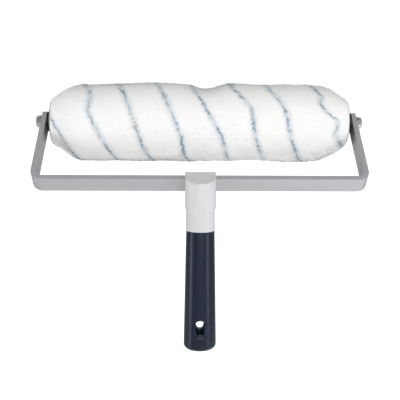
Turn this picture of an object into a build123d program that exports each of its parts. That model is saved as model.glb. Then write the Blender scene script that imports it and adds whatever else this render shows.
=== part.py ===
"""Double-arm paint roller: a bent flat-bar frame on a short handle, and a fleece cover that spins in it.

Millimetres. The origin is the centre of the handle's end, +Z runs up the handle, +X runs along the roller,
and the frame leans away from the handle towards +Y. One STEP file is written for each piece in its own place.
"""

from build123d import *
import os
from math import cos, pi, radians, sin, tan

os.makedirs("parts", exist_ok=True)

# ---------------------------------------------------------------- driving sizes
# Roller cover
cover_length = 270.0          # core tube, end to end
core_inner_radius = 19.05
core_wall = 1.5
core_show = 0.9               # bare core past the pile at each end
pile_depth = 14.95            # core's surface to the pile's surface
pile_trim = 0.85              # pile left standing beside the core's end
pile_bevel_length = 20.6      # from the pile's end to where the cone would meet the full radius
pile_shoulder_radius = 30.0   # round between the bevel and the full radius

# Bent flat bar
bar_thickness = 4.5
bar_width = 15.0
bend_radius = 10.3            # outside of the bend
arm_gap = 4.8                 # core's end to the arm
crossbar_gap = 39.4           # crossbar to the pile
arm_margin = 6.6              # axle to the arm's end
arm_end_round = 2.5
frame_lean = 49.5             # degrees between the frame's plane and the handle

# Handle grip
grip_length = 103.7
grip_end_wall = 6.1           # round the pole socket's mouth
grip_neck_wall = 2.1          # round the tang, under the head
grip_end_round = 4.2
grip_neck_round = 0.6
hang_hole_height = 14.2
hang_hole_top_radius = 4.35
hang_hole_low_radius = 3.1
hang_hole_low_edge = 13.6     # handle's end to the hole's lowest point

# Handle head: the light moulding whose tang runs down inside the grip
socket_radius = 8.0           # pole socket, through the grip's end into the tang
socket_depth = 60.0
tang_wall = 2.3               # round the socket, at the tang's lower end
tang_clear = 7.6              # hang hole to the tang's lower end
neck_radius = 12.25
neck_lip = 0.15               # neck stands this proud of the grip
neck_height = 21.1            # grip's top edge to the step, on the front
head_radius = 13.15
head_front_height = 19.7      # step to the sloping top, on the front
head_step_tilt = 8.5          # degrees, rising to the front
head_top_slope = 22.0         # degrees, falling to the front
head_step_run = 2.9           # height over which the step runs in to the neck
head_step_lip = 0.15          # thin edge left all round the step
saddle_forward = 0.4          # handle axis to the bar's upper near edge
saddle_rise = 2.7             # head's front top edge up to the same bar edge
saddle_land = 4.5             # head and cover plate below the bar
head_rear_drop = 11.0         # height over which the head's back runs in to the neck

# Cover plate behind the bar, and its screws
plate_thickness = 4.25
head_screw_radius = 2.0
head_screw_clearance = 0.25   # radial, in plate and bar
head_screw_spacing = 13.0
head_screw_bite = 8.5         # thread held in the head
pan_head_rim = 1.7            # pan head past the shank
pan_head_height = 2.6
recess_width = 1.0
recess_length = 4.2
recess_depth = 1.5

# Axle, its bolts and washers
axle_radius = 5.0
axle_bolt_radius = 3.0
axle_bolt_length = 16.0
axle_bolt_flats = 10.0
axle_bolt_head = 4.0
axle_bolt_chamfer = 1.5       # hexagon's corners turned down by this much at the crown
axle_tap_spare = 4.1          # tapped hole deeper than the bolt's end
thread_gap = 0.05             # radial, bolt thread in its tapped hole
arm_hole_gap = 0.3            # radial, bolt shank in the arm
spring_washer_rim = 2.9       # washer past the shank
spring_washer_thickness = 1.6
spring_washer_slot = 1.2
thrust_washer_rim = 4.0       # washer past the axle
thrust_washer_thickness = 1.5

# Roller bearings and end caps
running_gap = 0.05            # radial, bush on axle
side_gap = 0.3                # along the axle, bush flange to thrust washer
bush_wall = 2.0
bush_length = 22.0
bush_flange_rim = 1.55        # flange past the bush
bush_flange_thickness = 1.2
cap_depth = 20.0              # cap's plug inside the core
cap_wall = 2.2
cap_inset = 0.4               # cap's rim below the core's end
cap_web_depth = 7.0           # web below the rim
cap_web_thickness = 2.5
cap_hub_wall = 3.15           # hub round the bush
cap_hub_draft = 1.1           # hub narrower at its outer end
cap_rib_count = 6
cap_rib_thickness = 1.8
cap_rib_inset = 1.0           # ribs below the rim

# ---------------------------------------------------------------- worked-out sizes and places
core_outer_radius = core_inner_radius + core_wall
cover_radius = core_outer_radius + pile_depth
frame_width = cover_length + 2 * (arm_gap + bar_thickness)
axle_height = bar_thickness + crossbar_gap + cover_radius
arm_length = axle_height + arm_margin
half_frame = frame_width / 2
arm_inner_x = half_frame - bar_thickness
core_end_x = cover_length / 2
pile_end_x = core_end_x - core_show
cap_rim_x = core_end_x - cap_inset
cap_web_x = cap_rim_x - cap_web_depth
thrust_washer_x = arm_inner_x - thrust_washer_thickness
bush_flange_x = thrust_washer_x - side_gap
bush_shoulder_x = bush_flange_x - bush_flange_thickness
bush_radius = axle_radius + running_gap + bush_wall
bush_flange_radius = bush_radius + bush_flange_rim
cap_hub_radius = bush_radius + cap_hub_wall
bolt_head_x = half_frame + spring_washer_thickness
axle_tap_depth = arm_inner_x - (bolt_head_x - axle_bolt_length) + axle_tap_spare

grip_neck_radius = neck_radius - neck_lip
grip_end_radius = socket_radius + grip_end_wall
tang_neck_radius = grip_neck_radius - grip_neck_wall
tang_end_radius = socket_radius + tang_wall
tang_end_height = hang_hole_low_edge + hang_hole_height + tang_clear

lean = radians(frame_lean)
step_front_z = grip_length + neck_height
head_front_z = step_front_z + head_front_height
saddle = Vector(0, saddle_forward, head_front_z + saddle_rise)
outward = Vector(0, sin(lean), cos(lean))      # from the crossbar towards the roller
upward = Vector(0, -cos(lean), sin(lean))      # square to the frame's plane
frame_plane = Plane(origin=saddle, x_dir=(1, 0, 0), z_dir=upward)
axle_centre = saddle + outward * axle_height - upward * (bar_width / 2)
plate_back = bar_thickness + plate_thickness


def along_x(radius, length, start):
    """A cylinder about the axle, along +X from start."""
    place = Plane(origin=(start, axle_centre.Y, axle_centre.Z), x_dir=(0, 1, 0), z_dir=(1, 0, 0))
    return place * Cylinder(radius, length, align=(Align.CENTER, Align.CENTER, Align.MIN))


def turned_about_axle(points):
    """A solid turned about the axle from (distance along X, radius) points."""
    outline = Polyline(*[(x, axle_centre.Y, axle_centre.Z + r) for x, r in points], close=True)
    return revolve(make_face(outline), Axis(axle_centre, (1, 0, 0)), 360)


def both_sides(piece):
    """The piece and its mirror image at the other end of the roller, as separate solids."""
    return Compound(children=[*piece.solids(), *mirror(piece, about=Plane.YZ).solids()])


def left_of(piece):
    """The mirror image of a right-hand piece."""
    return mirror(piece, about=Plane.YZ)


def frame_point(out, up):
    """The (Y, Z) of a place out from the crossbar's face and up from the bar's upper edge."""
    place = saddle + outward * out + upward * up
    return (place.Y, place.Z)


def side_profile(points, half_width):
    """A solid of the handle's side view, from (Y, Z) points, out to half_width on each side."""
    outline = Polyline(*[(0, y, z) for y, z in points], close=True)
    return extrude(make_face(outline), half_width, dir=(1, 0, 0), both=True)


# ---------------------------------------------------------------- frame
def make_bar_frame():
    """The flat bar bent into a U, drilled for the axle bolts and for the head's screws."""
    outer = Pos(0, arm_length / 2) * Rectangle(frame_width, arm_length)
    hollow = Pos(0, bar_thickness + arm_length / 2) * Rectangle(2 * arm_inner_x, arm_length)
    outer = fillet(outer.vertices().sort_by(Axis.Y)[:2], bend_radius)
    hollow = fillet(hollow.vertices().sort_by(Axis.Y)[:2], bend_radius - bar_thickness)
    bar = extrude(frame_plane * (outer - hollow), -bar_width)
    ends = bar.edges().filter_by(Axis.X).group_by(lambda e: (e.center() - saddle).dot(outward))[-1]
    bar = fillet(ends, arm_end_round)
    bar -= along_x(axle_bolt_radius + arm_hole_gap, frame_width, -half_frame)
    for hole in head_screw_places(0, bar_thickness, head_screw_radius + head_screw_clearance):
        bar -= hole
    return bar


# ---------------------------------------------------------------- handle
def head_screw_plane(side, out):
    """The plane across one head screw, its centre out from the crossbar's outer face."""
    middle = saddle + outward * out - upward * (bar_width / 2)
    return Plane(origin=middle + Vector(side * head_screw_spacing / 2, 0, 0), x_dir=(1, 0, 0), z_dir=outward)


def head_screw_places(low, high, radius):
    """One cylinder for each head screw, from low to high out of the crossbar's outer face."""
    cylinder = Cylinder(radius, high - low, align=(Align.CENTER, Align.CENTER, Align.MIN))
    return [head_screw_plane(side, low) * cylinder for side in (-1, 1)]


def hang_hole():
    """The hole through the handle's end: round above, narrower below."""
    top = hang_hole_low_edge + hang_hole_height - hang_hole_top_radius
    low = hang_hole_low_edge + hang_hole_low_radius
    rounds = Sketch() + Pos(0, top) * Circle(hang_hole_top_radius)
    rounds += Pos(0, low) * Circle(hang_hole_low_radius)
    return extrude(Plane.XZ * make_hull(rounds.edges()), 2 * grip_end_radius, both=True)


def tang_blank():
    """The tapered tang inside the grip, before the socket is bored."""
    height = grip_length - tang_end_height
    cone = Cone(tang_end_radius, tang_neck_radius, height, align=(Align.CENTER, Align.CENTER, Align.MIN))
    return Pos(0, 0, tang_end_height) * cone


def pole_socket():
    """The round socket for an extension pole, open at the handle's end."""
    return Cylinder(socket_radius, socket_depth, align=(Align.CENTER, Align.CENTER, Align.MIN))


def make_handle_grip():
    """The dark tapered grip moulded round the tang, with the pole socket and the hang hole below it."""
    outline = Polyline(
        (0, 0, 0), (grip_end_radius, 0, 0),
        (grip_neck_radius, 0, grip_length), (0, 0, grip_length), close=True,
    )
    grip = revolve(make_face(outline), Axis.Z, 360)
    rims = grip.edges().filter_by(GeomType.CIRCLE).sort_by(Axis.Z)
    grip = fillet(rims[0], grip_end_round)
    rims = grip.edges().filter_by(GeomType.CIRCLE).sort_by(Axis.Z)
    grip = fillet(rims[-1], grip_neck_round)
    return grip - tang_blank() - pole_socket() - hang_hole()


def head_outline(back):
    """The head's side view, its back lying back out from the crossbar's face, behind the bar."""
    slope = tan(radians(head_top_slope))
    tilt = tan(radians(head_step_tilt))
    front = (-head_radius, head_front_z)
    # Walk up the sloping top until it is as far out as the back.
    reach = back - (Vector(0, *front) - saddle).dot(outward)
    walk = reach / (sin(lean) + cos(lean) * slope)
    top_back = (front[0] + walk, front[1] + walk * slope)
    low_back = frame_point(back, -bar_width - saddle_land)
    rear = (head_radius, low_back[1] - head_rear_drop)
    rear_step = (head_radius, step_front_z - 2 * head_radius * tilt)
    return [(-head_radius, step_front_z), front, top_back, low_back, rear, rear_step]


def head_column():
    """The head's plan, half round in front with straight sides behind, as a tall column."""
    reach = 4 * head_radius
    height = head_front_z + reach
    front = Cylinder(head_radius, height, align=(Align.CENTER, Align.CENTER, Align.MIN))
    rear = Box(2 * head_radius, reach, height, align=(Align.CENTER, Align.MIN, Align.MIN))
    return front + rear


def make_handle_head():
    """The light moulding: head with the bar's saddle, neck, and the tang inside the grip."""
    head = head_column() & side_profile(head_outline(bar_thickness), head_radius)
    step_side_z = step_front_z - head_radius * tan(radians(head_step_tilt))
    flare_radius = head_radius - head_step_lip
    column_top = head_front_z - 1
    outline = Polyline(
        (0, 0, grip_length), (neck_radius, 0, grip_length), (neck_radius, 0, step_side_z - head_step_run),
        (flare_radius, 0, step_side_z), (flare_radius, 0, column_top), (0, 0, column_top), close=True,
    )
    head += revolve(make_face(outline), Axis.Z, 360)
    # The bar lies flush with the head's back, so the cut runs on past it.
    cut = 2 * bar_thickness
    slot = frame_plane * (Pos(0, cut / 2, -bar_width / 2) * Box(4 * head_radius, cut, bar_width))
    head = head - slot + tang_blank()
    for hole in head_screw_places(-head_screw_bite, cut, head_screw_radius):
        head -= hole
    return head - pole_socket()


def make_cover_plate():
    """The plate that closes the bar into the head from behind."""
    plate = side_profile(head_outline(plate_back), head_radius)
    low = frame_point(bar_thickness, -bar_width - saddle_land)
    far = frame_point(plate_back + head_radius, -bar_width - saddle_land)
    high = frame_point(bar_thickness, 2 * bar_width)
    far_high = frame_point(plate_back + head_radius, 2 * bar_width)
    plate &= side_profile([low, far, far_high, high], head_radius)
    for hole in head_screw_places(0, plate_back, head_screw_radius + head_screw_clearance):
        plate -= hole
    return plate


def make_head_screws():
    """Two pan-head screws with cross recesses, through plate and bar into the head."""
    shanks = head_screw_places(-head_screw_bite, plate_back, head_screw_radius)
    heads = head_screw_places(plate_back, plate_back + pan_head_height, head_screw_radius + pan_head_rim)
    screws = []
    for side, shank, top in zip((-1, 1), shanks, heads):
        rim = top.edges().filter_by(GeomType.CIRCLE).group_by(lambda e: e.center().dot(outward))[-1]
        screw = shank + fillet(rim, pan_head_height / 2)
        slot = Box(recess_length, recess_width, recess_depth, align=(Align.CENTER, Align.CENTER, Align.MAX))
        for turn in (0, 90):
            screw -= head_screw_plane(side, plate_back + pan_head_height) * (Rot(0, 0, turn) * slot)
        screws.extend(screw.solids())
    return Compound(children=screws)


# ---------------------------------------------------------------- axle
def make_axle_rod():
    """The fixed rod between the arms, tapped at both ends."""
    rod = along_x(axle_radius, 2 * arm_inner_x, -arm_inner_x)
    tap = along_x(axle_bolt_radius + thread_gap, axle_tap_depth, arm_inner_x - axle_tap_depth)
    return rod - tap - left_of(tap)


def make_axle_bolts():
    """Two hexagon bolts, one through each arm into the axle."""
    shank = along_x(axle_bolt_radius, axle_bolt_length, bolt_head_x - axle_bolt_length)
    place = Plane(origin=(bolt_head_x, axle_centre.Y, axle_centre.Z), x_dir=upward, z_dir=(1, 0, 0))
    hexagon = extrude(place * RegularPolygon(axle_bolt_flats / 2, 6, major_radius=False), axle_bolt_head)
    corner = axle_bolt_flats / 2 / cos(pi / 6)
    crown_x = bolt_head_x + axle_bolt_head
    crown = turned_about_axle([
        (bolt_head_x, 0), (bolt_head_x, corner), (crown_x - axle_bolt_chamfer * tan(pi / 5), corner),
        (crown_x, corner - axle_bolt_chamfer), (crown_x, 0),
    ])
    return both_sides(shank + (hexagon & crown))


def make_spring_washers():
    """Two split washers, one under each axle bolt's head."""
    washer_radius = axle_bolt_radius + spring_washer_rim
    ring = along_x(washer_radius, spring_washer_thickness, half_frame)
    ring -= along_x(axle_bolt_radius + thread_gap, spring_washer_thickness, half_frame)
    slot = Pos(half_frame + spring_washer_thickness / 2, axle_centre.Y, axle_centre.Z)
    slot *= Rot(frame_lean, 0, 0)
    slot *= Box(2 * spring_washer_thickness, spring_washer_slot, 2 * washer_radius,
                align=(Align.CENTER, Align.CENTER, Align.MIN))
    return both_sides(ring - slot)


def make_thrust_washer():
    """The right-hand washer that keeps the roller off the arm."""
    ring = along_x(axle_radius + thrust_washer_rim, thrust_washer_thickness, thrust_washer_x)
    return ring - along_x(axle_radius + running_gap, thrust_washer_thickness, thrust_washer_x)


# ---------------------------------------------------------------- roller
def make_core_tube():
    """The cover's stiff tube."""
    tube = along_x(core_outer_radius, cover_length, -core_end_x)
    return tube - along_x(core_inner_radius, cover_length, -core_end_x)


def make_fleece_cover():
    """The pile's outer form: a thick sleeve with bevelled, rounded ends."""
    full_x = pile_end_x - pile_bevel_length
    trimmed_radius = core_outer_radius + pile_trim
    sleeve = turned_about_axle([
        (-pile_end_x, core_outer_radius), (-pile_end_x, trimmed_radius), (-full_x, cover_radius),
        (full_x, cover_radius), (pile_end_x, trimmed_radius), (pile_end_x, core_outer_radius),
    ])
    shoulders = [
        e for e in sleeve.edges().filter_by(GeomType.CIRCLE)
        if abs(e.radius - cover_radius) < 0.01
    ]
    return fillet(shoulders, pile_shoulder_radius)


def make_end_cap():
    """The right-hand plug that carries the core on its hub."""
    inner_x = cap_rim_x - cap_depth
    plug_radius = core_inner_radius - cap_wall
    hub_inner_x = bush_shoulder_x - bush_length
    web_inner_x = cap_web_x - cap_web_thickness
    cap = turned_about_axle([
        (inner_x, plug_radius), (inner_x, core_inner_radius), (cap_rim_x, core_inner_radius),
        (cap_rim_x, plug_radius), (cap_web_x, plug_radius), (cap_web_x, cap_hub_radius),
        (bush_shoulder_x, cap_hub_radius - cap_hub_draft), (bush_shoulder_x, bush_radius),
        (hub_inner_x, bush_radius), (hub_inner_x, cap_hub_radius),
        (web_inner_x, cap_hub_radius), (web_inner_x, plug_radius),
    ])
    rib_height = core_inner_radius - cap_hub_radius
    for n in range(cap_rib_count):
        rib = Box(cap_web_depth - cap_rib_inset, cap_rib_thickness, rib_height,
                  align=(Align.MIN, Align.CENTER, Align.MIN))
        turn = Pos(cap_web_x, axle_centre.Y, axle_centre.Z) * Rot(360 * n / cap_rib_count, 0, 0)
        cap += turn * (Pos(0, 0, cap_hub_radius - cap_hub_draft) * rib)
    return cap


def make_bush():
    """The right-hand flanged bush that runs on the axle."""
    inner_x = bush_shoulder_x - bush_length
    bore = axle_radius + running_gap
    return turned_about_axle([
        (inner_x, bore), (bush_flange_x, bore), (bush_flange_x, bush_flange_radius),
        (bush_shoulder_x, bush_flange_radius), (bush_shoulder_x, bush_radius), (inner_x, bush_radius),
    ])


pieces = {
    "bar_frame": make_bar_frame(),
    "handle_head": make_handle_head(),
    "handle_grip": make_handle_grip(),
    "cover_plate": make_cover_plate(),
    "head_screws": make_head_screws(),
    "axle_rod": make_axle_rod(),
    "axle_bolts": make_axle_bolts(),
    "spring_washers": make_spring_washers(),
    "core_tube": make_core_tube(),
    "fleece_cover": make_fleece_cover(),
}
for name, maker in (("thrust_washer", make_thrust_washer), ("end_cap", make_end_cap), ("bush", make_bush)):
    right = maker()
    pieces[name + "_right"] = right
    pieces[name + "_left"] = left_of(right)

for name, shape in pieces.items():
    export_step(shape, f"parts/{name}.step")
print("axle centre", round(axle_centre.Y, 3), round(axle_centre.Z, 3), "pieces", len(pieces))
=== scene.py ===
"""Looks of a double-arm paint roller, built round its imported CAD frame.

Metres, in the CAD frame: the origin is the centre of the handle's end, +Z runs up the handle and +X along the
roller. The bar, handle, axle and bearings are the CAD pieces with rounded edges and their own finishes. The
cover's pile is made here: a soft sleeve and the tufts that stand on it, with blue spiral stripes in the yarn.
"""

import logging
from dataclasses import dataclass
from enum import Enum
from math import cos, pi, radians, sin

import bpy
import numpy as np
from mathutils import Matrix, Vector


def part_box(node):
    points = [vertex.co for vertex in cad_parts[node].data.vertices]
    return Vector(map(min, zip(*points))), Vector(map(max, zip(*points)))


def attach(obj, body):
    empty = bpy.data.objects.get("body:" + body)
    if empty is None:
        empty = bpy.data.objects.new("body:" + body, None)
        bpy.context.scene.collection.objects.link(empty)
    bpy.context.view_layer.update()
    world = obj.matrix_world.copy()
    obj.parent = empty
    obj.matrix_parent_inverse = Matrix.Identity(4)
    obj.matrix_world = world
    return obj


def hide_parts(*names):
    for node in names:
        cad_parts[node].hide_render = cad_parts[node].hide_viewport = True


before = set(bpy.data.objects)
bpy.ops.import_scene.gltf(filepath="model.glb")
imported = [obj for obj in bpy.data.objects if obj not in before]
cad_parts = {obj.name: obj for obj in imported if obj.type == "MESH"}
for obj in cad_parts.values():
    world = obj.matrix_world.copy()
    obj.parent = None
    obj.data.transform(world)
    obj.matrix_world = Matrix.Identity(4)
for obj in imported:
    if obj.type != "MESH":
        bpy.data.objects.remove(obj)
log = logging.getLogger("paint_roller")

Triple = tuple[float, float, float]
Colour = Triple
Source = bpy.types.NodeSocket | float | tuple

MM = 0.001

# How much of a grain's range a mix spans: soft takes most of it, and firm only its middle.
SOFT = (0.3, 0.7)
FIRM = (0.35, 0.65)


class Slot(Enum):
    """The record's material slots."""

    BAR_PAINT = "bar_paint"
    HEAD_PLASTIC = "head_plastic"
    GRIP_PLASTIC = "grip_plastic"
    ZINC = "zinc"
    AXLE_STEEL = "axle_steel"
    NYLON = "nylon"
    CAP_PLASTIC = "cap_plastic"
    CORE_BOARD = "core_board"
    FLEECE = "fleece"


class Body(Enum):
    """The bodies that the pieces made here belong to."""

    ROLLER = "roller"


# ---------------------------------------------------------------- finishes
class Recipe:
    """One material, put together from shader nodes."""

    # A Mix node's colour sockets go by number, because its other kinds of socket have the same names.
    MIX_SHARE, MIX_FIRST, MIX_SECOND, MIXED = 0, 6, 7, 2

    def __init__(self, name: str) -> None:
        """Starts a material that holds only its shader and output.

        Args:
            name: The material's name.
        """
        self.material = bpy.data.materials.new(name)
        self.material.use_nodes = True
        self.tree = self.material.node_tree
        self.shader = self.tree.nodes["Principled BSDF"]

    def add(self, kind: str, inputs: dict[str | int, Source] | None = None,
            **settings: object) -> bpy.types.Node:
        """Adds a node.

        Args:
            kind: The node's type, without its ShaderNode prefix.
            inputs: A value or another node's output for each named socket.
            settings: The node's own properties.

        Returns:
            The new node.
        """
        node = self.tree.nodes.new("ShaderNode" + kind)
        for name, value in settings.items():
            setattr(node, name, value)
        self.feed(node, inputs or {})
        return node

    def feed(self, node: bpy.types.Node, inputs: dict[str | int, Source]) -> None:
        """Sets or links a node's inputs.

        Args:
            node: The node to feed.
            inputs: A value or another node's output for each named socket.
        """
        for name, value in inputs.items():
            if isinstance(value, bpy.types.NodeSocket):
                self.tree.links.new(value, node.inputs[name])
            else:
                node.inputs[name].default_value = value

    def place(self) -> bpy.types.NodeSocket:
        """The point on the piece.

        Returns:
            Its place in metres.
        """
        return self.add("TexCoord").outputs["Object"]

    def stretched(self, place: bpy.types.NodeSocket, stretch: Triple) -> bpy.types.NodeSocket:
        """The same point with each axis scaled, so that a grain runs long one way.

        Args:
            place: The point.
            stretch: The scale of each axis. A grain runs long where it is small.

        Returns:
            The scaled point.
        """
        return self.add("Mapping", {"Vector": place, "Scale": stretch}).outputs["Vector"]

    def grain(self, place: bpy.types.NodeSocket, size: float, detail: float = 3.0) -> bpy.types.NodeSocket:
        """An even random grain.

        Args:
            place: The point it is read at.
            size: The grain's size in metres.
            detail: How many finer octaves it holds.

        Returns:
            A value about 0.5, from 0 to 1.
        """
        return self.add("TexNoise", {"Vector": place, "Scale": 1 / size, "Detail": detail}).outputs["Fac"]

    def between(self, value: Source, low: float, high: float, out_low: float = 0.0,
                out_high: float = 1.0) -> bpy.types.NodeSocket:
        """Maps a value smoothly from one range to another.

        Args:
            value: What is mapped.
            low: The value that becomes out_low.
            high: The value that becomes out_high.
            out_low: The result at low and beyond.
            out_high: The result at high and beyond.

        Returns:
            The mapped value.
        """
        limits = {"From Min": low, "From Max": high, "To Min": out_low, "To Max": out_high}
        mapped = self.add("MapRange", {"Value": value, **limits}, interpolation_type="SMOOTHSTEP")
        return mapped.outputs["Result"]

    def combine(self, kind: str, first: Source, second: Source) -> bpy.types.NodeSocket:
        """One arithmetic step between two values.

        Args:
            kind: The step, as the Math node names it.
            first: The value that it starts from.
            second: The value that it brings in.

        Returns:
            The result.
        """
        return self.add("Math", {0: first, 1: second}, operation=kind).outputs["Value"]

    def tint(self, share: Source, first: Source, second: Source) -> bpy.types.NodeSocket:
        """A colour between two others.

        Args:
            share: How much of the second colour there is.
            first: A colour, or a node's colour output.
            second: A colour, or a node's colour output.

        Returns:
            The mixed colour.
        """
        mix = self.add("Mix", data_type="RGBA")
        for number, value in ((self.MIX_SHARE, share), (self.MIX_FIRST, first), (self.MIX_SECOND, second)):
            self.feed(mix, {number: (*value, 1.0) if isinstance(value, tuple) else value})
        return mix.outputs[self.MIXED]

    def bumps(self, height: bpy.types.NodeSocket, depth: float, strength: float = 1.0,
              under: bpy.types.NodeSocket | None = None) -> bpy.types.NodeSocket:
        """A normal from a height.

        Args:
            height: The height, from 0 to 1.
            depth: The relief's depth in metres.
            strength: How much of it shows.
            under: Another relief that this one lies on.

        Returns:
            The bent normal.
        """
        inputs: dict[str | int, Source] = {"Height": height, "Distance": depth, "Strength": strength}
        if under is not None:
            inputs["Normal"] = under
        return self.add("Bump", inputs).outputs["Normal"]

    def finish(self, **inputs: Source) -> bpy.types.Material:
        """Feeds the shader and hands over the material.

        Args:
            inputs: The shader's sockets, with _ for each space.

        Returns:
            The finished material.
        """
        self.feed(self.shader, {name.replace("_", " "): value for name, value in inputs.items()})
        return self.material


def shade(colour: Colour, share: float) -> Colour:
    """Makes a colour lighter or darker.

    Args:
        colour: The colour to start from.
        share: What each channel is multiplied by.

    Returns:
        The changed colour.
    """
    return tuple(channel * share for channel in colour)


@dataclass(frozen=True)
class SprayedPaint:
    """Satin metallic paint on rolled steel: fine peel, the bar's lengthwise lines, flake and light scuffs."""

    name: str
    colour: Colour
    roughness: float = 0.42
    scuffed_roughness: float = 0.58
    metal: float = 0.35
    band_size: float = 30 * MM
    line_width: float = 1.6 * MM
    line_strength: float = 0.35
    flake_size: float = 0.25 * MM
    flake_strength: float = 0.35
    scuff_size: float = 2.5 * MM
    scuff_strength: float = 0.25
    peel_size: float = 1.6 * MM
    peel_depth: float = 0.03 * MM

    def material(self) -> bpy.types.Material:
        """Mixes the paint.

        Returns:
            The finished material.
        """
        mix = Recipe(self.name)
        place = mix.place()
        bands = mix.grain(place, self.band_size, 2)
        flake = mix.grain(place, self.flake_size, 1)
        scuffs = mix.between(mix.grain(mix.stretched(place, (0.35, 1, 1)), self.scuff_size, 6), 0.62, 0.74)
        rolled = mix.between(mix.grain(mix.stretched(place, (0.01, 1, 1)), self.line_width, 2), *FIRM)
        colour = mix.tint(mix.between(bands, *SOFT), shade(self.colour, 0.97), shade(self.colour, 1.03))
        lines = mix.combine("MULTIPLY", rolled, self.line_strength)
        colour = mix.tint(lines, colour, shade(self.colour, 0.86))
        sparkle = mix.between(flake, 0.55, 0.75, 0, self.flake_strength)
        colour = mix.tint(sparkle, colour, shade(self.colour, 1.22))
        worn = mix.combine("MULTIPLY", scuffs, self.scuff_strength)
        colour = mix.tint(worn, colour, shade(self.colour, 0.82))
        peel = mix.bumps(mix.grain(place, self.peel_size, 2), self.peel_depth, 0.5)
        return mix.finish(
            Base_Color=colour, Metallic=self.metal,
            Roughness=mix.between(scuffs, 0, 1, self.roughness, self.scuffed_roughness), Normal=peel,
        )


@dataclass(frozen=True)
class MouldedPlastic:
    """Injection-moulded plastic: an even spark-eroded texture, flow marks and a few rubbed spots."""

    name: str
    colour: Colour
    roughness: float = 0.45
    gloss: float = 0.5
    texture_size: float = 0.5 * MM
    texture_depth: float = 0.02 * MM
    flow_size: float = 12 * MM
    flow_depth: float = 0.05 * MM
    rub_size: float = 6 * MM
    rub_polish: float = 0.03

    def material(self) -> bpy.types.Material:
        """Mixes the plastic.

        Returns:
            The finished material.
        """
        mix = Recipe(self.name)
        place = mix.place()
        flow = mix.between(mix.grain(mix.stretched(place, (1, 1, 0.3)), self.flow_size, 3), *SOFT)
        speck = mix.between(mix.grain(place, self.texture_size, 2), *FIRM)
        rubbed = mix.between(mix.grain(place, self.rub_size, 5), 0.58, 0.72)
        colour = mix.tint(flow, shade(self.colour, 0.975), shade(self.colour, 1.025))
        colour = mix.tint(mix.combine("MULTIPLY", speck, 0.5), colour, shade(self.colour, 1.05))
        relief = mix.bumps(speck, self.texture_depth, 0.6)
        relief = mix.bumps(flow, self.flow_depth, 0.4, relief)
        return mix.finish(
            Base_Color=colour, Specular_IOR_Level=self.gloss, Normal=relief,
            Roughness=mix.between(rubbed, 0, 1, self.roughness, self.roughness - self.rub_polish),
        )


@dataclass(frozen=True)
class PlatedSteel:
    """Bright zinc plate, a little clouded and pitted."""

    name: str
    colour: Colour
    roughness: float = 0.2
    cloud_size: float = 3 * MM
    cloud_dulling: float = 0.1
    pit_size: float = 0.3 * MM
    pit_depth: float = 0.01 * MM

    def material(self) -> bpy.types.Material:
        """Mixes the plating.

        Returns:
            The finished material.
        """
        mix = Recipe(self.name)
        place = mix.place()
        cloud = mix.between(mix.grain(place, self.cloud_size, 4), *FIRM)
        colour = mix.tint(cloud, shade(self.colour, 0.92), shade(self.colour, 1.05))
        pits = mix.bumps(mix.grain(place, self.pit_size, 3), self.pit_depth, 0.4)
        return mix.finish(
            Base_Color=colour, Metallic=1.0, Normal=pits,
            Roughness=mix.between(cloud, 0, 1, self.roughness, self.roughness + self.cloud_dulling),
        )


@dataclass(frozen=True)
class DrawnSteel:
    """Bright drawn bar, with fine lines along its length and a film of grease."""

    name: str
    colour: Colour
    roughness: float = 0.3
    line_width: float = 0.35 * MM
    line_depth: float = 0.02 * MM
    grease_size: float = 5 * MM
    grease_dulling: float = 0.15

    def material(self) -> bpy.types.Material:
        """Mixes the steel.

        Returns:
            The finished material.
        """
        mix = Recipe(self.name)
        place = mix.place()
        lines = mix.grain(mix.stretched(place, (0.02, 1, 1)), self.line_width, 3)
        grease = mix.between(mix.grain(place, self.grease_size, 4), 0.4, 0.7)
        colour = mix.tint(mix.between(lines, *SOFT), shade(self.colour, 0.86), self.colour)
        return mix.finish(
            Base_Color=colour, Metallic=1.0, Normal=mix.bumps(lines, self.line_depth, 0.5),
            Roughness=mix.between(grease, 0, 1, self.roughness, self.roughness + self.grease_dulling),
        )


@dataclass(frozen=True)
class WoundBoard:
    """Resin-soaked board tube: paper fibres, and the seams of the strips it was wound from."""

    name: str
    colour: Colour
    roughness: float = 0.72
    fibre_size: float = 0.8 * MM
    fibre_depth: float = 0.06 * MM
    blotch_size: float = 7 * MM
    seam_spread: float = 760 * MM

    def material(self) -> bpy.types.Material:
        """Mixes the board.

        Returns:
            The finished material.
        """
        mix = Recipe(self.name)
        place = mix.place()
        fibres = mix.grain(mix.stretched(place, (0.4, 1, 1)), self.fibre_size, 5)
        blotches = mix.grain(place, self.blotch_size, 3)
        seams = mix.add("TexWave", {"Vector": place, "Scale": 1 / self.seam_spread, "Distortion": 0.4},
                        wave_type="BANDS", bands_direction="DIAGONAL").outputs["Fac"]
        colour = mix.tint(mix.between(fibres, *SOFT), shade(self.colour, 0.85), shade(self.colour, 1.08))
        colour = mix.tint(mix.between(blotches, 0.4, 0.8, 0, 0.4), colour, shade(self.colour, 0.72))
        colour = mix.tint(mix.between(seams, 0.94, 1.0, 0, 0.5), colour, shade(self.colour, 0.6))
        relief = mix.bumps(fibres, self.fibre_depth, 0.7)
        return mix.finish(Base_Color=colour, Roughness=self.roughness, Normal=relief)


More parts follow.
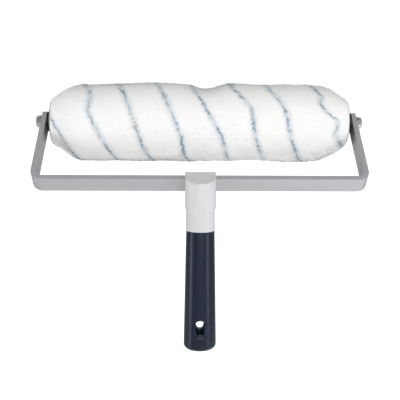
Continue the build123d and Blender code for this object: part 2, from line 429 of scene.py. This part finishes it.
@dataclass(frozen=True)
class FleeceYarn:
    """White pile yarn with two blue threads, read from the place where each tuft is rooted."""

    name: str
    white: Colour = (0.87, 0.87, 0.87)
    warm_white: Colour = (0.87, 0.86, 0.845)
    # Painted shade deep in the pile, at the tufts' roots.
    painted_root_shade: Colour = (0.80, 0.80, 0.80)
    blue: Colour = (0.17, 0.28, 0.37)
    patch_size: float = 9 * MM
    clump_size: float = 2.2 * MM
    warmth_size: float = 30 * MM
    crimp_size: float = 1.2 * MM
    crimp_depth: float = 0.3 * MM
    stripe_half_width: float = 1.5 * MM
    stripe_fray: float = 3.0 * MM
    fray_size: float = 2.6 * MM
    dye_strength: float = 0.88
    thinned_strength: float = 0.3
    thinning_size: float = 9 * MM
    haze_width: float = 6.0 * MM
    haze_strength: float = 0.26

    def material(self) -> bpy.types.Material:
        """Mixes the yarn.

        Returns:
            The finished material.
        """
        mix = Recipe(self.name)
        rooted = mix.add("Attribute", attribute_name=PileSurface.ROOTED_AT).outputs["Vector"]
        gap = mix.add("Attribute", attribute_name=PileSurface.STRIPE_GAP).outputs["Fac"]
        tip = mix.add("Attribute", attribute_name=PileSurface.TIP).outputs["Fac"]
        patches = mix.between(mix.grain(rooted, self.patch_size, 4), *SOFT)
        clumps = mix.between(mix.grain(rooted, self.clump_size, 3), *FIRM)
        warmth = mix.between(mix.grain(rooted, self.warmth_size, 2), 0.4, 0.62)
        white = mix.tint(patches, shade(self.white, 0.985), self.white)
        white = mix.tint(warmth, white, self.warm_white)
        # Painted shade: the yarn is darker towards the tufts' roots, and a little on the sleeve between them,
        # where the pile shades itself.
        white = mix.tint(mix.between(tip, 0, 0.8), self.painted_root_shade, white)
        white = mix.tint(mix.combine("MULTIPLY", clumps, 0.25), white, shade(self.white, 0.95))
        # Threads stray out of the stripe, thin out in places, and leave a pale haze either side.
        either_way = mix.combine("SUBTRACT", mix.grain(rooted, self.fray_size, 3), 0.5)
        frayed = mix.combine("ADD", gap, mix.combine("MULTIPLY", either_way, 2 * self.stripe_fray))
        thread = mix.between(frayed, self.stripe_half_width * 1.7, self.stripe_half_width * 0.2)
        thinning = mix.grain(rooted, self.thinning_size, 2)
        broken = mix.between(thinning, 0.34, 0.62, self.thinned_strength, self.dye_strength)
        haze = mix.between(frayed, self.haze_width, 0.0, 0.0, self.haze_strength)
        strength = mix.combine("MAXIMUM", mix.combine("MULTIPLY", thread, broken), haze)
        return mix.finish(
            Base_Color=mix.tint(strength, white, self.blue), Roughness=0.95, Specular_IOR_Level=0.1,
            Sheen_Weight=0.25, Sheen_Roughness=0.5,
            Normal=mix.bumps(mix.grain(rooted, self.crimp_size, 3), self.crimp_depth, 0.3),
        )


FINISHES = {
    Slot.BAR_PAINT: SprayedPaint("bar_paint", (0.43, 0.43, 0.45)),
    Slot.HEAD_PLASTIC: MouldedPlastic("head_plastic", (0.59, 0.59, 0.605), roughness=0.42),
    Slot.GRIP_PLASTIC: MouldedPlastic("grip_plastic", (0.006, 0.0118, 0.028), roughness=0.31, gloss=0.28),
    Slot.ZINC: PlatedSteel("zinc", (0.46, 0.46, 0.455)),
    Slot.AXLE_STEEL: DrawnSteel("axle_steel", (0.62, 0.62, 0.63)),
    # Near-black washers, bushes and end caps: a colour chosen as painted shade, for the deep shade in the
    # gaps between the arms and the cover's ends.
    Slot.NYLON: MouldedPlastic("nylon", (0.014, 0.014, 0.015), roughness=0.5),
    Slot.CAP_PLASTIC: MouldedPlastic("cap_plastic", (0.020, 0.020, 0.022), roughness=0.5),
    Slot.CORE_BOARD: WoundBoard("core_board", (0.34, 0.32, 0.27)),
}


@dataclass
class CadPiece:
    """A CAD node that is shown as it is, with its sharp edges eased and its finish put on."""

    node: str
    slot: Slot
    edge_round: float
    edge_segments: int = 2
    sharp_angle: float = 32.0
    weld_gap: float = 0.001 * MM

    def dress(self, materials: dict[Slot, bpy.types.Material]) -> None:
        """Eases the edges and puts the finish on.

        Args:
            materials: The material made for each slot.
        """
        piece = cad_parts[self.node]
        for slot in piece.material_slots:
            slot.material = materials[self.slot]
        weld = piece.modifiers.new("one_skin", "WELD")
        weld.merge_threshold = self.weld_gap
        ease = piece.modifiers.new("eased_edges", "BEVEL")
        ease.width = self.edge_round
        ease.segments = self.edge_segments
        ease.limit_method = "ANGLE"
        ease.angle_limit = radians(self.sharp_angle)
        ease.harden_normals = True
        log.info("%s: %s", self.node, self.slot.value)


@dataclass
class Assembly:
    """A group of CAD pieces that are dressed together."""

    pieces: tuple[CadPiece, ...]

    def dress(self, materials: dict[Slot, bpy.types.Material]) -> None:
        """Dresses each piece.

        Args:
            materials: The material made for each slot.
        """
        for piece in self.pieces:
            piece.dress(materials)


class BarFrame(Assembly):
    """The bent flat bar."""

    def __init__(self) -> None:
        """Names the bar."""
        super().__init__((CadPiece("bar_frame", Slot.BAR_PAINT, edge_round=0.5 * MM),))


class Handle(Assembly):
    """The light head with its cover plate and screws, and the dark grip."""

    def __init__(self) -> None:
        """Names the handle's pieces."""
        super().__init__((
            CadPiece("handle_head", Slot.HEAD_PLASTIC, edge_round=0.5 * MM),
            CadPiece("cover_plate", Slot.HEAD_PLASTIC, edge_round=0.5 * MM),
            CadPiece("head_screws", Slot.ZINC, edge_round=0.12 * MM),
            CadPiece("handle_grip", Slot.GRIP_PLASTIC, edge_round=0.4 * MM),
        ))


class Axle(Assembly):
    """The fixed rod, its bolts and its washers."""

    def __init__(self) -> None:
        """Names the axle's pieces."""
        super().__init__((
            CadPiece("axle_rod", Slot.AXLE_STEEL, edge_round=0.2 * MM),
            CadPiece("axle_bolts", Slot.ZINC, edge_round=0.2 * MM),
            CadPiece("spring_washers", Slot.ZINC, edge_round=0.15 * MM),
            CadPiece("thrust_washer_left", Slot.NYLON, edge_round=0.15 * MM),
            CadPiece("thrust_washer_right", Slot.NYLON, edge_round=0.15 * MM),
        ))


class RollerCore(Assembly):
    """The tube, end caps and bushes that carry the pile."""

    def __init__(self) -> None:
        """Names the core's pieces."""
        super().__init__((
            CadPiece("core_tube", Slot.CORE_BOARD, edge_round=0.15 * MM),
            CadPiece("end_cap_left", Slot.CAP_PLASTIC, edge_round=0.25 * MM),
            CadPiece("end_cap_right", Slot.CAP_PLASTIC, edge_round=0.25 * MM),
            CadPiece("bush_left", Slot.NYLON, edge_round=0.15 * MM),
            CadPiece("bush_right", Slot.NYLON, edge_round=0.15 * MM),
        ))


# ---------------------------------------------------------------- pile
def unit(vectors: np.ndarray) -> np.ndarray:
    """The same directions, each of length one.

    Args:
        vectors: One vector in each row.

    Returns:
        The unit vectors.
    """
    return vectors / np.linalg.norm(vectors, axis=1, keepdims=True)


def turned(start: np.ndarray, towards: np.ndarray, angle: np.ndarray) -> np.ndarray:
    """Directions turned from one set of unit vectors towards another at right angles to it.

    Args:
        start: The directions at zero.
        towards: The directions at a quarter turn.
        angle: How far each is turned, in radians.

    Returns:
        The turned directions.
    """
    return start * np.cos(angle)[:, None] + towards * np.sin(angle)[:, None]


@dataclass(frozen=True)
class Swell:
    """A place where the pile stands up or is pressed down.

    Angles go round the roller from its front, positive downwards.
    """

    along: float
    around: float
    rise: float
    length: float
    spread: float = 45.0

    def lift(self, along: np.ndarray, around: np.ndarray) -> np.ndarray:
        """How far it moves the surface.

        Args:
            along: Places along the roller, in metres.
            around: Angles round it, in radians.

        Returns:
            The change of radius at each place.
        """
        turn = (around - radians(self.around) + pi) % (2 * pi) - pi
        across = turn / radians(self.spread)
        return self.rise * np.exp(-((along - self.along) / self.length) ** 2 - across ** 2)


# For each: its place along the roller, its angle round it, its rise, its length and, for some, its spread
# round the roller in degrees.
SWELLS = (
    Swell(5 * MM, -90, -4.2 * MM, 12 * MM, 50),
    Swell(-42 * MM, -85, 0.9 * MM, 24 * MM),
    Swell(31 * MM, -90, 0.9 * MM, 10 * MM),
    Swell(51 * MM, -90, -0.5 * MM, 15 * MM),
    Swell(108 * MM, -90, -0.8 * MM, 9 * MM),
    Swell(0 * MM, 90, 1.1 * MM, 250 * MM),
    Swell(-98 * MM, -90, -1.2 * MM, 20 * MM),
    Swell(-125 * MM, -80, 0.6 * MM, 9 * MM, 50),
    Swell(-127 * MM, 75, -2.0 * MM, 9 * MM, 40),
    Swell(42 * MM, 90, -1.0 * MM, 20 * MM),
    Swell(84 * MM, 90, 0.7 * MM, 14 * MM),
)


@dataclass(frozen=True)
class SpiralStripes:
    """Two blue threads wound round the cover, pushed about by handling."""

    spacing: float = 34.5 * MM
    first: float = -126.8 * MM
    still_angle: float = 120.0
    # For each stripe from the left: angles round the front, and the push along the roller there in
    # millimetres. Nothing is pushed beyond the still angle.
    pushes: tuple[tuple[tuple[float, float], ...], ...] = (
        ((-60, -4), (-20, -5), (6, -3.5), (45, 0.5), (60, 2.5)),
        ((-60, 4.5), (-41, 3), (-18, -3.5), (0, -1.5), (20, 0), (60, 3.5)),
        ((-60, -1.5), (-20, 0)),
        ((-60, -1), (-20, 0.5), (20, 2.5), (60, -2)),
        ((-60, -5), (-20, -1.5), (20, 4), (60, 2)),
        ((-60, -4.5), (-20, 3.5), (20, -1)),
        ((-60, -7), (-20, -1), (20, -4), (60, -3)),
        ((-60, 1), (-45, 2), (-33, -2.5), (-19, -0.5), (-5, 8.5), (8, 5.5), (18, 1.5), (30, 3), (60, 4)),
    )

    def push(self, number: np.ndarray, around: np.ndarray) -> np.ndarray:
        """How far a stripe is pushed.

        Args:
            number: Which stripe, counted from the left end's front.
            around: Angles round the roller, in radians.

        Returns:
            The push along the roller at each angle, in metres.
        """
        degrees = np.degrees(around)
        result = np.zeros_like(degrees)
        for n, stops in enumerate(self.pushes):
            angles, moves = zip((-self.still_angle, 0), *stops, (self.still_angle, 0))
            chosen = number == n
            result[chosen] = np.interp(degrees[chosen], angles, moves)
        return result * MM

    def gap(self, along: np.ndarray, around: np.ndarray) -> np.ndarray:
        """The distance to the nearest stripe.

        Args:
            along: Places along the roller, in metres.
            around: Angles round it, in radians, from -pi to pi.

        Returns:
            The distance at each place, in metres.
        """
        turns = (along - self.first) / self.spacing - around / pi
        nearest = np.full_like(along, np.inf)
        for step in (-1, 0, 1):
            number = np.round(turns) + step
            centre = self.first + (number + around / pi) * self.spacing + self.push(number, around)
            nearest = np.minimum(nearest, np.abs(along - centre))
        return nearest


@dataclass
class PileSurface:
    """The cover's soft outer form, fitted to the CAD sleeve."""

    bevel_length: float = 20.6 * MM
    trim: float = 0.85 * MM
    shoulder: float = 5.6 * MM
    tuft_allowance: float = 1.5 * MM
    ripple_count: int = 60
    ripple_depth: float = 0.03 * MM
    ripple_lengths: tuple[float, float] = (16 * MM, 70 * MM)
    ripple_turns: int = 6
    end_fade: float = 6 * MM
    slope_step: float = 0.5 * MM
    seed: int = 7

    ROOTED_AT = "rooted_at"
    STRIPE_GAP = "stripe_gap"
    TIP = "tip"

    def __post_init__(self) -> None:
        """Takes the sleeve's place from the CAD and draws the random ripples."""
        low, high = (np.array(corner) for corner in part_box("fleece_cover"))
        core_low, core_high = (np.array(corner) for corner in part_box("core_tube"))
        self.centre = (low + high) / 2
        self.end = high[0]
        self.radius = (high[2] - low[2]) / 2
        self.core_radius = (core_high[2] - core_low[2]) / 2
        rng = np.random.default_rng(self.seed)
        self.ripples = [
            (
                2 * pi / rng.uniform(*self.ripple_lengths),
                int(rng.integers(-self.ripple_turns, self.ripple_turns + 1)),
                rng.uniform(0, 2 * pi),
            )
            for _ in range(self.ripple_count)
        ]

    def height(self, along: np.ndarray, around: np.ndarray) -> np.ndarray:
        """The radius of the sleeve under the tufts.

        Args:
            along: Places along the roller, in metres.
            around: Angles round it, in radians.

        Returns:
            The radius at each place.
        """
        full = self.radius - self.tuft_allowance
        trimmed = self.core_radius + self.trim
        cone = trimmed + (full - trimmed) * (self.end - np.abs(along)) / self.bevel_length
        share = np.clip(0.5 + 0.5 * (full - cone) / self.shoulder, 0, 1)
        radius = full + (cone - full) * share - self.shoulder * share * (1 - share)
        lift = sum(swell.lift(along, around) for swell in SWELLS)
        lift += self.ripple_depth * sum(
            np.sin(wave * along + turns * around + start) for wave, turns, start in self.ripples
        )
        # The ends are cut off square beside the core, so nothing lifts there.
        fade = np.clip((self.end - np.abs(along)) / self.end_fade, 0, 1)
        return radius + lift * fade

    def points(self, along: np.ndarray, around: np.ndarray, radius: np.ndarray) -> np.ndarray:
        """Places in the frame from places on the roller.

        Args:
            along: Distance along the roller, in metres.
            around: Angle round it, from its front, positive downwards.
            radius: Distance from the axle.

        Returns:
            One row of X, Y and Z for each place.
        """
        forward = self.centre[1] - radius * np.cos(around)
        upward = self.centre[2] - radius * np.sin(around)
        return np.stack([along, forward, upward], -1)

    def normals(self, along: np.ndarray, around: np.ndarray) -> np.ndarray:
        """The surface's outward directions.

        Args:
            along: Distance along the roller, in metres.
            around: Angle round it.

        Returns:
            One unit vector for each place.
        """
        step = self.slope_step
        turn = step / self.radius
        slope_along = (self.height(along + step, around) - self.height(along - step, around)) / (2 * step)
        slope_around = self.height(along, around + turn) - self.height(along, around - turn)
        slope_around /= 2 * turn * self.height(along, around)
        out = np.stack([np.zeros_like(around), -np.cos(around), -np.sin(around)], -1)
        tangent = np.stack([np.zeros_like(around), np.sin(around), -np.cos(around)], -1)
        found = out - tangent * slope_around[:, None]
        found[:, 0] -= slope_along
        return unit(found)


@dataclass
class FleeceCover:
    """The pile: a sleeve and the tufts that stand on it."""

    surface: PileSurface
    stripes: SpiralStripes
    rows: int = 300
    row_crowding: float = 0.72
    spokes: int = 150
    tufts_per_half: int = 17500
    tuft_length: float = 1.9 * MM
    length_spread: tuple[float, float] = (0.75, 1.15)
    shortest_share: float = 0.35
    nearest_share: float = 0.15
    tuft_radius: float = 0.3 * MM
    radius_spread: tuple[float, float] = (0.7, 1.2)
    middle_width: float = 0.8
    tuft_sink: float = 0.6 * MM
    tuft_lean: float = 48.0
    lean_spread: float = 14.0
    lean_limits: tuple[float, float] = (10.0, 75.0)
    root_lean: float = 0.55
    tip_lean: float = 1.25
    # Waves in the combing direction: size in radians, length along the roller, turns round it and start.
    drifts: tuple[tuple[float, float, int, float], ...] = ((1.3, 17 * MM, 2, 0.0), (1.1, 41 * MM, -3, 1.0))
    drift_stray: float = 0.9
    softness: float = 0.88
    dye_stray: float = 0.8 * MM
    dyed_growth: float = 0.3
    dyed_reach: float = 2 * MM
    seed: int = 11

    # A tuft is two rings of corners and a point, and each has its place up the yarn, as the sleeve has; the
    # yarn paints shade by it, darker towards the roots.
    CORNERS = 3
    TUFT_POINTS = 2 * CORNERS + 1
    ROOT_TIP, MIDDLE_TIP, END_TIP, SLEEVE_TIP = 0.2, 0.7, 1.0, 0.6

    def build(self, yarn: bpy.types.Material) -> None:
        """Makes the sleeve and its tufts.

        Args:
            yarn: The pile's material.
        """
        rng = np.random.default_rng(self.seed)
        end = self.surface.end
        tufts = [
            self.make_tufts("fleece_tufts_left", -end, 0.0, rng),
            self.make_tufts("fleece_tufts_right", 0.0, end, rng),
        ]
        for piece in tufts:
            # Light passes through single tufts, so they throw no shadow of their own.
            piece.visible_shadow = False
        for piece in (self.make_sleeve(), *tufts):
            piece.data.materials.append(yarn)
            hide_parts("fleece_cover")
            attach(piece, Body.ROLLER.value)
            log.info("%s: %d faces", piece.name, len(piece.data.polygons))

    def make_piece(self, name: str, points: np.ndarray, faces: list[list[int]], normals: np.ndarray | None,
                   rooted: np.ndarray, gap: np.ndarray, tip: np.ndarray) -> bpy.types.Object:
        """Makes one mesh with what its yarn is read from.

        Args:
            name: The piece's name.
            points: Its vertices.
            faces: The vertices of each face.
            normals: A shading direction for each vertex, or None to leave them.
            rooted: Where the yarn at each vertex is rooted.
            gap: That root's distance from a stripe.
            tip: How far up the yarn each vertex is, from 0 to 1.

        Returns:
            The new object.
        """
        mesh = bpy.data.meshes.new(name)
        mesh.from_pydata(points.tolist(), [], faces)
        mesh.shade_smooth()
        stored = mesh.attributes.new(PileSurface.ROOTED_AT, "FLOAT_VECTOR", "POINT")
        stored.data.foreach_set("vector", rooted.astype(np.float32).ravel())
        for attribute, values in ((PileSurface.STRIPE_GAP, gap), (PileSurface.TIP, tip)):
            stored = mesh.attributes.new(attribute, "FLOAT", "POINT")
            stored.data.foreach_set("value", values.astype(np.float32))
        if normals is not None:
            mesh.normals_split_custom_set_from_vertices(normals.tolist())
        piece = bpy.data.objects.new(name, mesh)
        bpy.context.scene.collection.objects.link(piece)
        return piece

    def make_sleeve(self) -> bpy.types.Object:
        """The closed sleeve under the tufts: outer skin, cut ends and the face against the core.

        Returns:
            The new piece.
        """
        surface = self.surface
        # Closer rows near the ends, where the bevels turn.
        quarter = pi / 2 * self.row_crowding
        along_rows = surface.end * np.sin(np.linspace(-1, 1, self.rows) * quarter) / np.sin(quarter)
        angles = np.linspace(-pi, pi, self.spokes, endpoint=False)
        along, around = (grid.ravel() for grid in np.meshgrid(along_rows, angles, indexing="ij"))
        radius = surface.height(along, around)
        inner_grids = np.meshgrid((surface.end, -surface.end), angles, indexing="ij")
        inner_along, inner_around = (grid.ravel() for grid in inner_grids)
        inner_radius = np.full_like(inner_along, surface.core_radius)
        along = np.concatenate([along, inner_along])
        around = np.concatenate([around, inner_around])
        radius = np.concatenate([radius, inner_radius])
        first = np.arange(len(along) // self.spokes)[:, None] * self.spokes
        spoke = np.arange(self.spokes)[None, :]
        after = (spoke + 1) % self.spokes
        following = np.roll(first, -1, axis=0)
        corners = [first + spoke, following + spoke, following + after, first + after]
        faces = np.stack(corners, -1).reshape(-1, len(corners))
        points = surface.points(along, around, radius)
        return self.make_piece(
            "fleece_sleeve", points, faces.tolist(), None, points, self.stripes.gap(along, around),
            np.full(len(points), self.SLEEVE_TIP),
        )

    def combed(self, along: np.ndarray, around: np.ndarray, out: np.ndarray,
               rng: np.random.Generator) -> np.ndarray:
        """The ways the tufts are combed, which drift over the cover and stray a little from tuft to tuft.

        Args:
            along: Where each tuft stands along the roller, in metres.
            around: Its angle round the roller.
            out: The surface's direction there.
            rng: The source of random values.

        Returns:
            A unit vector along the surface for each tuft.
        """
        side = unit(np.cross(out, (1.0, 0.0, 0.0)))
        run = np.cross(side, out)
        drift = sum(
            size * np.sin(along / length + turns * around + start)
            for size, length, turns, start in self.drifts
        )
        return turned(run, side, drift + rng.normal(0, self.drift_stray, len(along)))

    def lengths(self, along: np.ndarray, gap: np.ndarray, rng: np.random.Generator) -> np.ndarray:
        """The tufts' lengths.

        Args:
            along: Where each tuft stands along the roller, in metres.
            gap: Its distance from a stripe.
            rng: The source of random values.

        Returns:
            A length for each tuft, in metres.
        """
        length = self.tuft_length * rng.uniform(*self.length_spread, len(along))
        # Towards the core's ends the pile is shorn short.
        room = (self.surface.end - np.abs(along)) / self.surface.bevel_length
        near_end = np.clip(room, self.nearest_share, 1)
        length *= self.shortest_share + (1 - self.shortest_share) * near_end
        # The dyed yarn is slicker, so its tufts lie longer.
        return length * (1 + self.dyed_growth * np.exp(-(gap / self.dyed_reach) ** 2))

    def tuft_faces(self) -> list[list[int]]:
        """The faces of all the tufts in one piece.

        Returns:
            The four-sided faces between the rings, then the three-sided ones at the tips.
        """
        first = np.arange(self.tufts_per_half)[:, None] * self.TUFT_POINTS
        middle, tip = self.CORNERS, 2 * self.CORNERS
        edges = [(corner, (corner + 1) % self.CORNERS) for corner in range(self.CORNERS)]
        sides = [(a, b, middle + b, middle + a) for a, b in edges]
        ends = [(middle + a, middle + b, tip) for a, b in edges]
        return [face for corners in (*sides, *ends) for face in (first + np.array(corners)).tolist()]

    def make_tufts(self, name: str, first_end: float, last_end: float,
                   rng: np.random.Generator) -> bpy.types.Object:
        """Curved, tapered three-sided locks on a stretch of the sleeve, combed in drifting directions.

        Args:
            name: The piece's name.
            first_end: Where along the roller the stretch begins, in metres.
            last_end: Where it ends.
            rng: The source of random values.

        Returns:
            The new piece.
        """
        surface, count = self.surface, self.tufts_per_half
        along = rng.uniform(first_end, last_end, count)
        around = rng.uniform(-pi, pi, count)
        roots = surface.points(along, around, surface.height(along, around))
        out = surface.normals(along, around)
        comb = self.combed(along, around, out, rng)
        lean = np.radians(np.clip(rng.normal(self.tuft_lean, self.lean_spread, count), *self.lean_limits))
        gap = self.stripes.gap(along, around)
        length = self.lengths(along, gap, rng)
        base = roots - out * self.tuft_sink
        middle = base + turned(out, comb, lean * self.root_lean) * (self.tuft_sink + length / 2)[:, None]
        end = middle + turned(out, comb, lean * self.tip_lean) * (length / 2)[:, None]
        # No tuft reaches out over the core's bare edge.
        for ring in (middle, end):
            ring[:, 0] = np.clip(ring[:, 0], -surface.end, surface.end)
        points, normals = [], []
        width = self.tuft_radius * rng.uniform(*self.radius_spread, count)
        twist = rng.uniform(0, 2 * pi, count)
        across = np.cross(out, comb)
        for centre, share in ((base, 1.0), (middle, self.middle_width)):
            for corner in range(self.CORNERS):
                spoke = turned(comb, across, twist + corner * 2 * pi / self.CORNERS)
                points.append(centre + spoke * (width * share)[:, None])
                normals.append(out * self.softness + spoke * (1 - self.softness))
        points.append(end)
        normals.append(out)
        # Dyed tufts stray out of the stripe, and white ones into it.
        gap = np.abs(gap + rng.normal(0, self.dye_stray, count))
        tips = [*[self.ROOT_TIP] * self.CORNERS, *[self.MIDDLE_TIP] * self.CORNERS, self.END_TIP]
        points = np.stack(points, 1).reshape(-1, 3)
        normals = unit(np.stack(normals, 1).reshape(-1, 3))
        return self.make_piece(
            name, points, self.tuft_faces(), normals, np.repeat(roots, self.TUFT_POINTS, axis=0),
            np.repeat(gap, self.TUFT_POINTS), np.tile(tips, count),
        )


# ---------------------------------------------------------------- studio
@dataclass(frozen=True)
class SoftBox:
    """A large, even lamp."""

    name: str
    place: Triple
    width: float
    height: float
    brightness: float
    aim: Triple = (0.0, 0.03, 0.12)

    def hang(self) -> None:
        """Puts the lamp in its place, turned to the object."""
        lamp = bpy.data.lights.new(self.name, "AREA")
        lamp.shape = "RECTANGLE"
        lamp.size, lamp.size_y = self.width, self.height
        lamp.energy = self.brightness * pi * self.width * self.height
        holder = bpy.data.objects.new(self.name, lamp)
        holder.location = self.place
        holder.rotation_euler = (Vector(self.aim) - Vector(self.place)).to_track_quat("-Z", "Y").to_euler()
        bpy.context.scene.collection.objects.link(holder)


@dataclass
class Studio:
    """The camera, the lamps, the white surroundings and the pale floor."""

    camera_distance: float = 0.586
    camera_height: float = 0.2119
    camera_dip: float = 8.0
    camera_turn: float = 1.1
    camera_roll: float = -0.32
    camera_shift: float = -0.0027
    lens: float = 63.0
    sensor_width: float = 36.0
    nearest_seen: float = 0.01
    seen_white: float = 1.1
    front_glow: float = 0.2
    back_glow: float = 0.66
    floor_drop: float = 0.45
    floor_size: float = 30.0
    floor_greys: tuple[Colour, Colour] = ((0.80, 0.80, 0.80), (0.82, 0.82, 0.82))
    floor_grain: float = 0.4
    seen_floor: float = 0.9
    floor_glow: float = 0.8
    glow_place: Triple = (0.4, 0.3, -0.45)
    glow_full: float = 0.25
    glow_end: float = 0.9
    lamps: tuple[SoftBox, ...] = (
        SoftBox("front_lamp", (0.18, -1.5, 0.48), width=1.4, height=0.9, brightness=3.75),
        SoftBox("left_lamp", (-1.2, -0.3, 0.2), width=0.12, height=1.2, brightness=12.5),
        SoftBox("right_lamp", (1.1, -0.65, 0.2), width=0.12, height=1.2, brightness=11.5),
    )

    def build(self) -> None:
        """Sets everything up."""
        self.add_camera()
        self.add_surroundings()
        self.add_floor()
        for lamp in self.lamps:
            lamp.hang()

    def add_camera(self) -> None:
        """The camera, in front of the handle and a little above it, looking slightly down."""
        view = bpy.data.cameras.new("camera")
        view.lens = self.lens
        view.sensor_width = self.sensor_width
        view.clip_start = self.nearest_seen
        view.shift_x = self.camera_shift
        holder = bpy.data.objects.new("camera", view)
        turn, away = radians(self.camera_turn), self.camera_distance
        holder.location = (-away * sin(turn), -away * cos(turn), self.camera_height)
        holder.rotation_euler = (radians(90 - self.camera_dip), radians(self.camera_roll), -turn)
        bpy.context.scene.collection.objects.link(holder)
        bpy.context.scene.camera = holder

    def add_surroundings(self) -> None:
        """White all round, which gives less light than it shows, and least of all from the front."""
        world = bpy.data.worlds.new("surroundings")
        world.use_nodes = True
        nodes, links = world.node_tree.nodes, world.node_tree.links
        depth = nodes.new("ShaderNodeSeparateXYZ")
        links.new(nodes.new("ShaderNodeTexCoord").outputs["Generated"], depth.inputs["Vector"])
        glow = nodes.new("ShaderNodeMapRange")
        for name, value in (("From Min", -1.0), ("To Min", self.front_glow), ("To Max", self.back_glow)):
            glow.inputs[name].default_value = value
        links.new(depth.outputs["Y"], glow.inputs["Value"])
        strength = nodes.new("ShaderNodeMapRange")
        strength.inputs["To Max"].default_value = self.seen_white
        links.new(nodes.new("ShaderNodeLightPath").outputs["Is Camera Ray"], strength.inputs["Value"])
        links.new(glow.outputs["Result"], strength.inputs["To Min"])
        links.new(strength.outputs["Result"], nodes["Background"].inputs["Strength"])
        nodes["Background"].inputs["Color"].default_value = (1, 1, 1, 1)
        bpy.context.scene.world = world
        bpy.context.scene.view_settings.view_transform = "Standard"

    def add_floor(self) -> None:
        """A plain pale floor, well below the upright object."""
        half = self.floor_size / 2
        sides = ((-half, -half), (half, -half), (half, half), (-half, half))
        mesh = bpy.data.meshes.new("floor")
        mesh.from_pydata([(x, y, -self.floor_drop) for x, y in sides], [], [(0, 1, 2, 3)])
        mix = Recipe("pale_floor")
        place = mix.place()
        grain = mix.between(mix.grain(place, self.floor_grain, 2), *SOFT)
        reach = mix.add("VectorMath", {0: place, 1: self.glow_place}, operation="DISTANCE").outputs["Value"]
        glow = mix.between(reach, self.glow_full, self.glow_end, self.floor_glow, 0.0)
        # It looks equally pale from every side, and lights the object from below.
        seen = mix.add("LightPath").outputs["Is Camera Ray"]
        shown = mix.add("MapRange", {"Value": seen, "To Min": glow, "To Max": self.seen_floor})
        mesh.materials.append(mix.finish(
            Base_Color=mix.tint(grain, *self.floor_greys), Roughness=0.9, Specular_IOR_Level=0.0,
            Emission_Color=(1, 1, 1, 1), Emission_Strength=shown.outputs["Result"],
        ))
        floor = bpy.data.objects.new("floor", mesh)
        bpy.context.scene.collection.objects.link(floor)


def main() -> None:
    """Builds the scene piece by piece."""
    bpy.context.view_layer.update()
    Studio().build()
    materials = {slot: finish.material() for slot, finish in FINISHES.items()}
    for assembly in (BarFrame(), Handle(), Axle(), RollerCore()):
        assembly.dress(materials)
    FleeceCover(PileSurface(), SpiralStripes()).build(FleeceYarn(Slot.FLEECE.value).material())


if __name__ == "__main__":
    logging.basicConfig(level=logging.INFO, format="%(message)s")
    main()
